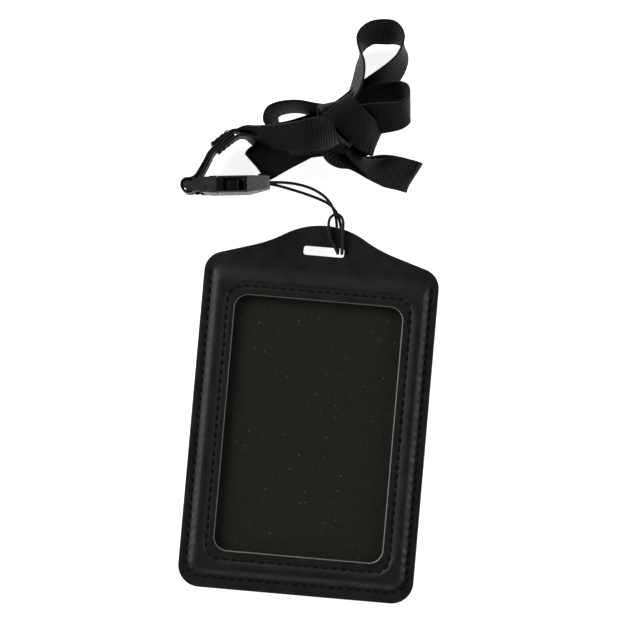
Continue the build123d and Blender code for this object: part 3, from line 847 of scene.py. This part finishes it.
def rim_normals(x, y, owner, edges):
    """The direction out of the sheet at each border point, from the outline it is on."""
    normals = np.zeros((len(x), 2))
    for index, (path, _, _) in enumerate(edges):
        chosen = owner == index
        _, along, _ = path.nearest(x[chosen], y[chosen])
        reach = 0.4
        ahead = np.array([path.at((place + reach) % path.length)[0] for place in along]).reshape(-1, 2)
        behind = np.array([path.at((place - reach) % path.length)[0] for place in along]).reshape(-1, 2)
        run = ahead - behind
        run /= np.linalg.norm(run, axis=1)[:, None]
        left = np.stack([-run[:, 1], run[:, 0]], axis=1)
        normals[chosen] = left if index == 0 else -left
    return normals


def smooth_step(value):
    value = np.clip(value, 0, 1)
    return value * value * (3 - 2 * value)


def ripple(x, y, height, wave=9.0):
    """Slow unevenness of a sheet that has been handled."""
    first = np.sin(x / wave + 0.7 * np.sin(y / (1.3 * wave)))
    second = np.sin(y / (0.8 * wave) + 1.1 * np.sin(x / (1.7 * wave) + 2.0))
    return height * (first + second) / 2


# ------------------------------------------------------------------ holder
def pocket_inset(x, gap_y):
    """How far in from the pocket's rounded edge a point is. gap_y is its distance past the corner."""
    half_width, _, _, radius = POCKET
    gap_x = np.abs(x) - (half_width - radius)
    corner = np.hypot(np.maximum(gap_x, 0), np.maximum(gap_y, 0))
    return radius - np.where((gap_x > 0) & (gap_y > 0), corner, np.maximum(gap_x, gap_y))


def pillow(x, y, scallop=0.0):
    """How far the front leather is lifted by the padding, from 0 at the outer seam to 1 over the foam."""
    bottom, radius = POCKET[1], POCKET[3]
    inside = pocket_inset(x, bottom + radius - y)
    share = np.clip((inside + scallop) / PILLOW_WIDTH, 0, 1)
    sides = 1 - (1 - share) ** 2.3
    return sides * smooth_step((TOP_FADE_START - y) / TOP_FADE)


class FrontSurface:
    """The height of the front leather's face at any point."""

    def __init__(self, outer_seam, window_seam, window, slot):
        self.outer_seam = outer_seam
        self.window_seam = window_seam
        self.window = window
        self.slot = slot

    def __call__(self, x, y):
        pull, wave, away = self.outer_seam.pull(x, y)
        scallop = PUCKER * wave * np.exp(-((away - PUCKER_REACH) / PUCKER_REACH) ** 2)
        lift = pillow(x, y, scallop)
        window_pull, _, _ = self.window_seam.pull(x, y)
        from_window = -self.window.distance(x, y)
        shape = 0.60 + 0.40 * smooth_step((np.abs(from_window) - 2.4) / 2.2)
        pressed = SLOT_PRESS * np.exp(-((self.slot.distance(x, y) / SLOT_PRESS_REACH) ** 2))
        height = BORDER_FRONT + PILLOW_LIFT * lift * shape
        height = height - SEAM_SINK * pull - WINDOW_SEAM_SINK * window_pull * lift - pressed
        return height + ripple(x, y, 0.03) + ripple(y, x, 0.012, 4.0)


def back_surface(outer_seam):
    """The height of the back's outer face: on the floor over the pocket, clear of it at the border."""

    def height(x, y):
        _, bottom, top, radius = POCKET
        inside = pocket_inset(x, np.abs(y - (top + bottom) / 2) - ((top - bottom) / 2 - radius))
        share = np.clip((inside + 0.15) / 1.1, 0, 1)
        pull, _, _ = outer_seam.pull(x, y)
        return BORDER_BACK * (1 - share) ** 2.2 + BACK_SEAM_SINK * pull

    return height


def build_holder(materials):
    leather, edge = materials["leather"], materials["edge"]
    outline = Path(holder_outline(), True)
    slot = Path(rounded_outline(SLOT[0], -SLOT[1], SLOT[1], SLOT[2], SLOT_Y), True)
    window = Path(rounded_outline(*WINDOW), True)
    outer_seam = Seam(outer_seam_path(), False)
    window_seam = Seam(rounded_outline(*WINDOW_SEAM), True)
    front = FrontSurface(outer_seam, window_seam, window, slot)
    xs = grid_lines(-35.5, 35.5, 0.7, 0.27, [(-34.2, -30.4), (-28.3, -24.5), (24.5, 28.3), (30.4, 34.2)])
    ys = grid_lines(-55.5, 55.5, 0.42, 0.27, [(-53.0, -49.0), (-47.2, -43.0), (32.0, 36.2), (45.0, 50.0)])
    outer_rim = [(0, 0), (0.10, 0.05), (0.17, 0.22), (0.18, 0.8), (0.12, 1.0)]
    window_rim = [(0, 0), (0.09, 0.06), (0.15, 0.20), (0.30, 0.9), (0.28, 1.0)]
    points, faces, slots = plate(
        [(outline, outer_rim, 1), (slot, outer_rim, 0), (window, window_rim, 1)],
        xs, ys, front, lambda x, y: under_front(x, y, front),
    )
    cover = add_piece("front_leather", points, faces, [leather, edge], "holder", MM, slots)
    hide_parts("front_frame")

    slit = Path(rounded_outline(SLIT[0], -SLIT[1], SLIT[1], SLIT[2], SLIT_Y), True)
    behind = back_surface(outer_seam)
    back_xs = grid_lines(-35.5, 35.5, 0.8, 0.3, [(-34.0, -30.2), (30.2, 34.0)])
    back_ys = grid_lines(-55.5, 55.5, 0.55, 0.3, [(-53.0, -49.0), (35.0, 39.0), (45.0, 50.0)])
    points, faces, slots = plate(
        [(outline, outer_rim, 1), (slot, outer_rim, 0), (slit, outer_rim, 1)],
        back_xs, back_ys, lambda x, y: behind(x, y) + LEATHER, behind,
    )
    cover = add_piece("back_leather", points, faces, [leather, edge], "holder", MM, slots)
    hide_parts("back_cover")
    build_inner_sheets(materials, front, window)
    build_stitches(materials, front, behind, outer_seam, window_seam)


def under_front(x, y, front):
    """The front leather's underside: one thickness below its face, and flat where it meets the film."""
    return np.clip(front(x, y) - LEATHER, BORDER_FRONT - LEATHER, None)


def build_inner_sheets(materials, front, window):
    half_width, bottom, top, radius = SHEET
    xs = grid_lines(-half_width - 0.5, half_width + 0.5, 1.1, 0.5, [])
    ys = grid_lines(bottom - 0.5, top + 0.5, 1.1, 0.5, [])
    square_rim = [(0, 0), (0.04, 0.3), (0.04, 0.7), (0.02, 1.0)]

    def add_sheet(name, sheet_top, high, low, material, node):
        outline = Path(rounded_outline(half_width, bottom, sheet_top, radius), True)
        points, faces, slots = plate([(outline, square_rim, 0)], xs, ys, high, low)
        sheet = add_piece(name, points, faces, [material], "holder", MM, slots)
        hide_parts(node)
        return sheet

    film = add_sheet(
        "clear_window", top,
        lambda x, y: FILM_FRONT - 0.03 + ripple(x, y, 0.025, 11.0),
        lambda x, y: FILM_BACK + 0.03 + ripple(x, y, 0.025, 11.0),
        materials["film"], "window_film",
    )
    lining = add_sheet(
        "pocket_felt", LINING_TOP,
        lambda x, y: LINING_FRONT + ripple(x, y, 0.05, 6.0) + ripple(y, x, 0.02, 1.7),
        lambda x, y: np.full(np.shape(x), LINING_BACK + 0.02),
        materials["lining"], "pocket_lining",
    )

    outline = Path(rounded_outline(half_width, bottom, top, radius), True)
    hole = Path(rounded_outline(WINDOW[0] + 0.6, WINDOW[1] - 0.6, WINDOW[2] + 0.6, WINDOW[3] + 0.6), True)
    xs = grid_lines(-half_width - 0.5, half_width + 0.5, 0.8, 0.6, [])
    ys = grid_lines(bottom - 0.5, top + 0.5, 0.8, 0.6, [])
    points, faces, slots = plate(
        [(outline, square_rim, 0), (hole, square_rim, 0)], xs, ys,
        lambda x, y: np.clip(front(x, y) - LEATHER - 0.05, FILM_FRONT + 0.12, None),
        lambda x, y: np.full(np.shape(x), FILM_FRONT + 0.02),
    )
    foam = add_piece("foam_padding", points, faces, [materials["foam"]], "holder", MM, slots)
    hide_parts("frame_padding")
    outline = Path(rounded_outline(half_width, bottom, LINING_TOP, radius), True)
    points, faces, slots = plate(
        [(outline, square_rim, 0)], xs, ys,
        lambda x, y: BOARD_FRONT - 0.02 + ripple(y, x, 0.015, 9.0),
        lambda x, y: np.full(np.shape(x), BOARD_BACK + 0.01),
    )
    board = add_piece("stiff_board", points, faces, [materials["board"]], "holder", MM, slots)
    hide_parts("back_board")


def thread_stitch(length, arch, dip, plies=2, steps=12, sides=6):
    """One stitch of twisted thread along x, arched over the leather and diving into it at both ends."""
    share = np.linspace(-1, 1, steps)
    middle = np.stack([share * length / 2, np.zeros(steps), arch * (1 - share**4) - dip * share**6], axis=1)
    points = []
    faces = []
    for ply in range(plies):
        turn = math.pi * (1.6 * share + 2 * ply / plies)
        offset = np.stack([np.zeros(steps), np.cos(turn), np.sin(turn)], axis=1) * PLY_RADIUS * 0.72
        around = np.linspace(0, 2 * math.pi, sides, endpoint=False)
        circle = np.stack([np.zeros(sides), np.cos(around), np.sin(around)], axis=1) * PLY_RADIUS
        rings = (middle + offset)[:, None, :] + circle[None]
        base = len(points) * steps * sides
        points.append(rings.reshape(-1, 3))
        for step in range(steps - 1):
            for side in range(sides):
                beside = (side + 1) % sides
                first = base + step * sides
                faces.append((first + side, first + beside, first + sides + beside, first + sides + side))
        faces.append(tuple(base + side for side in reversed(range(sides))))
        faces.append(tuple(base + (steps - 1) * sides + side for side in range(sides)))
    return np.concatenate(points), faces


def seam_stitches(seam, height, facing):
    """A seam's stitches, on a surface of the given height; facing is 1 on the front and -1 on the back."""
    points = []
    faces = []
    stitch, stitch_faces = thread_stitch(STITCH_LENGTH, 0.16, 0.30)
    for number in range(seam.count):
        place, direction = seam.at((number + 0.5) * seam.pitch)
        lean = 0.06 * math.sin(2.4 * number)
        along = np.array([direction[0] - lean * direction[1], direction[1] + lean * direction[0]])
        across = np.array([-along[1], along[0]]) * facing
        level = height(np.array([place[0]]), np.array([place[1]]))[0]
        turned = np.empty_like(stitch)
        turned[:, :2] = place + stitch[:, :1] * along + stitch[:, 1:2] * across
        turned[:, 2] = level + facing * stitch[:, 2]
        faces.extend(tuple(corner + len(points) * len(stitch) for corner in face) for face in stitch_faces)
        points.append(turned)
    return np.concatenate(points), faces


def build_stitches(materials, front, behind, outer_seam, window_seam):
    upper, upper_faces = seam_stitches(outer_seam, front, 1)
    lower, lower_faces = seam_stitches(outer_seam, behind, -1)
    faces = upper_faces + [tuple(corner + len(upper) for corner in face) for face in lower_faces]
    thread = add_piece(
        "outer_thread", np.concatenate([upper, lower]), faces, [materials["thread"]], "holder", MM
    )
    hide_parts("outer_stitching")
    points, faces = seam_stitches(window_seam, front, 1)
    thread = add_piece("window_thread", points, faces, [materials["thread"]], "holder", MM)
    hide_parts("window_stitching")


# ------------------------------------------------------------------ lines read from splines
def spline_points(points, steps=12):
    """Points along the smooth spline that has these control points, as Blender evaluates it."""
    data = bpy.data.curves.new("route", "CURVE")
    data.dimensions = "3D"
    data.resolution_u = steps
    spline = data.splines.new("NURBS")
    spline.points.add(len(points) - 1)
    for target, point in zip(spline.points, points):
        target.co = (*point, 1)
    spline.order_u = 3
    spline.use_endpoint_u = True
    holder = bpy.data.objects.new("route", data)
    bpy.context.scene.collection.objects.link(holder)
    bpy.context.view_layer.update()
    mesh = bpy.data.meshes.new_from_object(holder)
    found = np.array([vertex.co for vertex in mesh.vertices])
    bpy.data.objects.remove(holder)
    bpy.data.meshes.remove(mesh)
    bpy.data.curves.remove(data)
    return found


def evenly(points, step, *others):
    """The line and what goes with it, read again at an even step along the line."""
    places = np.concatenate([[0], np.cumsum(np.linalg.norm(np.diff(points, axis=0), axis=1))])
    count = max(2, round(places[-1] / step))
    wanted = np.linspace(0, places[-1], count + 1)

    def reread(line):
        return np.stack([np.interp(wanted, places, line[:, axis]) for axis in range(3)], axis=1)

    return [reread(line) for line in (points, *others)], wanted


def directions(line):
    run = np.gradient(line, axis=0)
    return run / np.linalg.norm(run, axis=1)[:, None]


def ring_faces(rings, sides):
    step = np.arange(rings - 1)[:, None] * sides
    side = np.arange(sides)[None]
    beside = (side + 1) % sides
    quads = np.stack([step + side, step + beside, step + sides + beside, step + sides + side], axis=-1)
    faces = quads.reshape(-1, 4).tolist()
    faces.append(list(range(sides))[::-1])
    faces.append([(rings - 1) * sides + number for number in range(sides)])
    return faces


# ------------------------------------------------------------------ webbing
def webbing_section():
    """Half of the webbing's section: places across it, with the thickness there and how ribbed."""
    half = WEBBING_WIDTH / 2
    selvage = 0.75 * MM
    inner = half - selvage
    edge = [-half, -half + 0.12 * MM, -half + 0.4 * MM]
    across = edge + [-inner, -inner + 0.12 * MM, -0.55 * inner, -0.18 * inner]
    thickness = [0.30, 0.80, 0.98, 0.84, 0.92, 1.0, 1.0]
    ribbed = [0.2, 0.5, 0.6, 0.1, 0.9, 1.0, 1.0]
    across = across + [-place for place in reversed(across)]
    return np.array(across), np.array(thickness + thickness[::-1]), np.array(ribbed + ribbed[::-1])


def webbing(name, route, widths, body, material, width_scale=1.0):
    """Ribbed webbing along a route, its width turned as the widths say. Returns the piece and its line."""
    line = spline_points(route)
    turned = spline_points(widths)
    (line, turned), places = evenly(line, RIB_PITCH / 4, turned)
    along = directions(line)
    turned -= (turned * along).sum(1)[:, None] * along
    turned /= np.linalg.norm(turned, axis=1)[:, None]
    facing = np.cross(along, turned)
    across, thickness, ribbed = webbing_section()
    across = across * width_scale
    wave = 0.5 + 0.5 * np.cos(2 * math.pi * places / RIB_PITCH)
    half = WEBBING / 2 * thickness[None] - RIB_HEIGHT * ribbed[None] * (1 - wave[:, None])
    front = line[:, None] + across[None, :, None] * turned[:, None] + half[:, :, None] * facing[:, None]
    back = line[:, None] + across[None, :, None] * turned[:, None] - half[:, :, None] * facing[:, None]
    section = np.concatenate([front, back[:, ::-1]], axis=1)
    rings, sides = section.shape[:2]
    piece = add_piece(name, section.reshape(-1, 3), ring_faces(rings, sides), [material], body)
    paint_weave(piece, np.concatenate([across, across[::-1]]), places, sides)
    return piece, line


def paint_weave(piece, across, places, sides):
    """A UV map whose U runs across the webbing and V along it."""
    layer = piece.data.uv_layers.new(name="weave")
    corner = np.empty(len(piece.data.loops), np.int32)
    piece.data.loops.foreach_get("vertex_index", corner)
    share = across[corner % sides] / WEBBING_WIDTH + 0.5
    uv = np.stack([share, places[corner // sides] / WEBBING_WIDTH], axis=1)
    layer.data.foreach_set("uv", uv.astype(np.float32).ravel())


def build_strap(material):
    route = [point[:3] for point in STRAP_ROUTE]
    widths = [point[3:] for point in STRAP_ROUTE]
    strap, line = webbing("neck_strap", route, widths, "neck_strap", material)
    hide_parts("neck_strap_bunch", "neck_strap_end_upper", "neck_strap_end_lower")
    length = float(np.linalg.norm(np.diff(line, axis=0), axis=1).sum())
    print(f"neck strap: {length * 1000:.1f} mm")


def build_loop(material):
    """The short webbing folded round the buckle's bar, its two legs closed in the sewn joint."""
    widths = [(0, 0, 1)] * len(LOOP_ROUTE)
    loop, _ = webbing("buckle_loop", LOOP_ROUTE, widths, "neck_strap", material)
    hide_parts("webbing_loop")


# ------------------------------------------------------------------ cord
def tube_angles(sides):
    return np.linspace(0, 2 * math.pi, sides, endpoint=False)


def tube(line, radius):
    """A tube along a line, with a radius for each point of each ring. Returns its points and faces."""
    sides = radius.shape[1]
    along = directions(line)
    side = carried_frame(along)
    other = np.cross(along, side)
    angle = tube_angles(sides)
    ring = np.cos(angle)[None, :, None] * side[:, None] + np.sin(angle)[None, :, None] * other[:, None]
    points = line[:, None] + radius[:, :, None] * ring
    return points.reshape(-1, 3), ring_faces(len(line), sides)


def build_tether(materials):
    """The tether: a fine braid, its strands crossing round it."""
    line = spline_points(TETHER_ROUTE)
    (line,), places = evenly(line, TETHER_STEP)
    angle = tube_angles(TETHER_SIDES)
    lay = 2 * math.pi * places[:, None] / BRAID_LAY
    strands = np.cos(4 * angle[None] + lay) * np.cos(4 * angle[None] - lay)
    radius = CORD_DIAMETER / 2 * (0.955 + 0.045 * strands)
    points, faces = tube(line, radius)
    cord = add_piece("tether", points, faces, [materials["cord"]], "holder")
    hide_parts("tether_cord")


def build_knot(material):
    """The knot that holds the tether inside the buckle: the same cord, wound tightly on itself."""
    turn = np.linspace(0, 2 * math.pi, 240)
    out = KNOT_WIND + KNOT_LOBE * np.cos(3 * turn)
    depth = KNOT_DEPTH * np.sin(3 * turn)
    line = np.stack([depth, out * np.cos(2 * turn), out * np.sin(2 * turn)], axis=1) * MM + KNOT_PLACE
    points, faces = tube(line, np.full((len(line), KNOT_SIDES), 0.48 * CORD_DIAMETER))
    knot = add_piece("tied_knot", points, faces, [material], "holder")
    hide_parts("cord_knot")


def carried_frame(along):
    """A side direction carried along a line with as little turning as it can have."""
    side = np.zeros_like(along)
    start = np.cross(along[0], (0, 0, 1))
    side[0] = start / np.linalg.norm(start)
    for index in range(1, len(along)):
        carried = side[index - 1] - (side[index - 1] @ along[index]) * along[index]
        side[index] = carried / np.linalg.norm(carried)
    return side


def build_joint_thread(material):
    """The joint's stitches: thread dashes across the webbing on both of its outer faces, near its edges."""
    start = np.array(JOINT_START) / MM
    run = np.array(JOINT_END) / MM - start
    length = np.linalg.norm(run)
    along = run / length
    out = np.array([-along[1], along[0]])
    stitch, stitch_faces = thread_stitch(JOINT_STITCH, 0.09, 0.1)
    points = []
    faces = []
    for facing in (-1, 1):
        for row in JOINT_ROWS:
            for number in range(JOINT_STITCHES):
                place = start + along * (length - 1.2) * (number + 0.9) / JOINT_STITCHES
                turned = np.empty_like(stitch)
                offset = facing * (JOINT_HALF_THICKNESS + stitch[:, 2:])
                turned[:, :2] = place + stitch[:, :1] * along + offset * out
                turned[:, 2] = row + stitch[:, 1]
                first = len(points) * len(stitch)
                faces.extend(tuple(corner + first for corner in face) for face in stitch_faces)
                points.append(turned)
    thread = add_piece("joint_thread", np.concatenate(points), faces, [material], "neck_strap", MM)
    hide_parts("joint_stitching")


def build_carried_nodes(materials):
    """The hard pieces keep their CAD shapes, with moulded plastic on them and their edges eased."""
    dress("buckle_plug", materials["plug_plastic"])
    for node in ("buckle_socket", "release_arm_upper", "release_arm_lower"):
        dress(node, materials["plastic"])
    for node in ("buckle_socket", "buckle_plug", "release_arm_upper", "release_arm_lower"):
        ease_edges(node, EASED_EDGE)


def dress(node, material):
    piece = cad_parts[node]
    piece.data.materials.clear()
    piece.data.materials.append(material)


def ease_edges(node, width):
    """Rounds a moulded piece's edges a little."""
    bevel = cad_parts[node].modifiers.new("eased_edges", "BEVEL")
    bevel.width = width
    bevel.segments = 3
    bevel.limit_method = "ANGLE"
    bevel.angle_limit = math.radians(35)
    bevel.harden_normals = False


def main():
    bpy.context.scene.view_settings.view_transform = "Standard"
    add_camera()
    add_floor()
    add_sky()
    for name, place, size, power in LIGHTS:
        add_area_light(name, place, size, power)
    materials = {
        "leather": leather_material(),
        "edge": cut_edge_material(),
        "lining": lining_material(),
        "film": film_material(),
        "thread": thread_material(),
        "webbing": webbing_material(),
        "cord": cord_material(),
        "plastic": plastic_material("black_plastic", 0.0045),
        "plug_plastic": plastic_material("grey_black_plastic", 0.026),
        "foam": foam_material(),
        "board": board_material(),
    }
    build_knot(materials["cord"])
    build_tether(materials)
    build_loop(materials["webbing"])
    build_joint_thread(materials["thread"])
    build_strap(materials["webbing"])
    build_holder(materials)
    build_carried_nodes(materials)


main()
